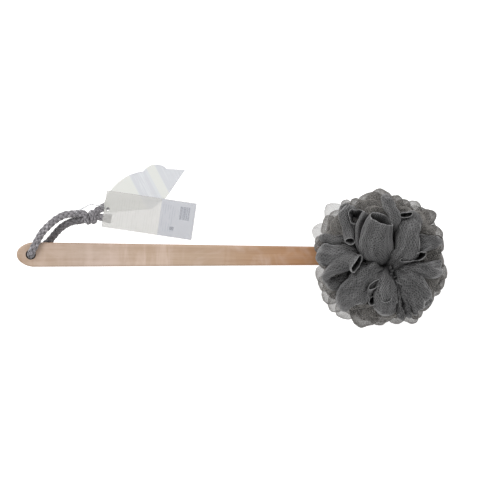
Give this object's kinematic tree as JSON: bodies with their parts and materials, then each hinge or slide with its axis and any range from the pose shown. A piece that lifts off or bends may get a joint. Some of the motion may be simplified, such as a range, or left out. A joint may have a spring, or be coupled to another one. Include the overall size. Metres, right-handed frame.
{
  "type": "long-handled bath pouf",
  "caption": "Netting bath pouf tied to a flat wooden stick handle, with a knotted braided hang cord and two swing tags on a clear loop.",
  "frame": {"origin": "middle of the bare shaft's flat back face", "axes": "+X along the handle from the hang hole to the netting, +Z out of the front broad face, +Y across the handle towards the tags"},
  "size_m": [0.4092, 0.1505, 0.1058],
  "materials": {
    "handle_wood": "bare sanded light wood",
    "braided_cord": "grey braided cord",
    "clear_filament": "clear filament",
    "frosted_card": "frosted translucent sheet",
    "banded_card": "translucent sheet with pale bands",
    "netting": "grey knitted netting",
    "binding_twine": "grey twine"
  },
  "bodies": {
    "handle": {"handle": "handle_wood"},
    "cord": {"hang_cord": "braided_cord"},
    "clear_loop": {"tag_loop": "clear_filament"},
    "card": {"card_tag": "frosted_card"},
    "arch": {"arched_tag": "banded_card"},
    "binding": {"binding_cord": "binding_twine"},
    "pouf": {"net_front_rosette": "netting", "net_front_ruffle": "netting", "net_side_fringe": "netting", "net_back_ruffle": "netting", "net_back_rosette": "netting"}
  },
  "joints": [
    {"name": "cord_swing", "type": "hinge", "parent": "handle", "child": "cord", "pos_m": [-0.155, 0, 0.004], "axis": [0, 0, 1], "range_deg": [-10, 250]},
    {"name": "tag_loop_swing", "type": "hinge", "parent": "cord", "child": "clear_loop", "pos_m": [-0.114, 0.0356, 0.004], "axis": [0, 0, 1], "range_deg": [-6, 60]},
    {"name": "card_tag_swing", "type": "hinge", "parent": "clear_loop", "child": "card", "pos_m": [-0.0818, 0.0434, 0.0115], "axis": [0, 0, 1], "range_deg": [-60, 60]},
    {"name": "arched_tag_swing", "type": "hinge", "parent": "clear_loop", "child": "arch", "pos_m": [-0.0818, 0.0434, 0.0105], "axis": [0, 0, 1], "range_deg": [-60, 60]},
    {"name": "pouf_twist", "type": "hinge", "parent": "handle", "child": "binding", "pos_m": [0.176, 0, 0.004], "axis": [1, 0, 0], "range_deg": [-10, 10]},
    {"name": "pouf_swivel", "type": "hinge", "parent": "binding", "child": "pouf", "pos_m": [0.176, 0, 0.004], "axis": [0, 0, 1], "range_deg": [-12, 12]}
  ]
}
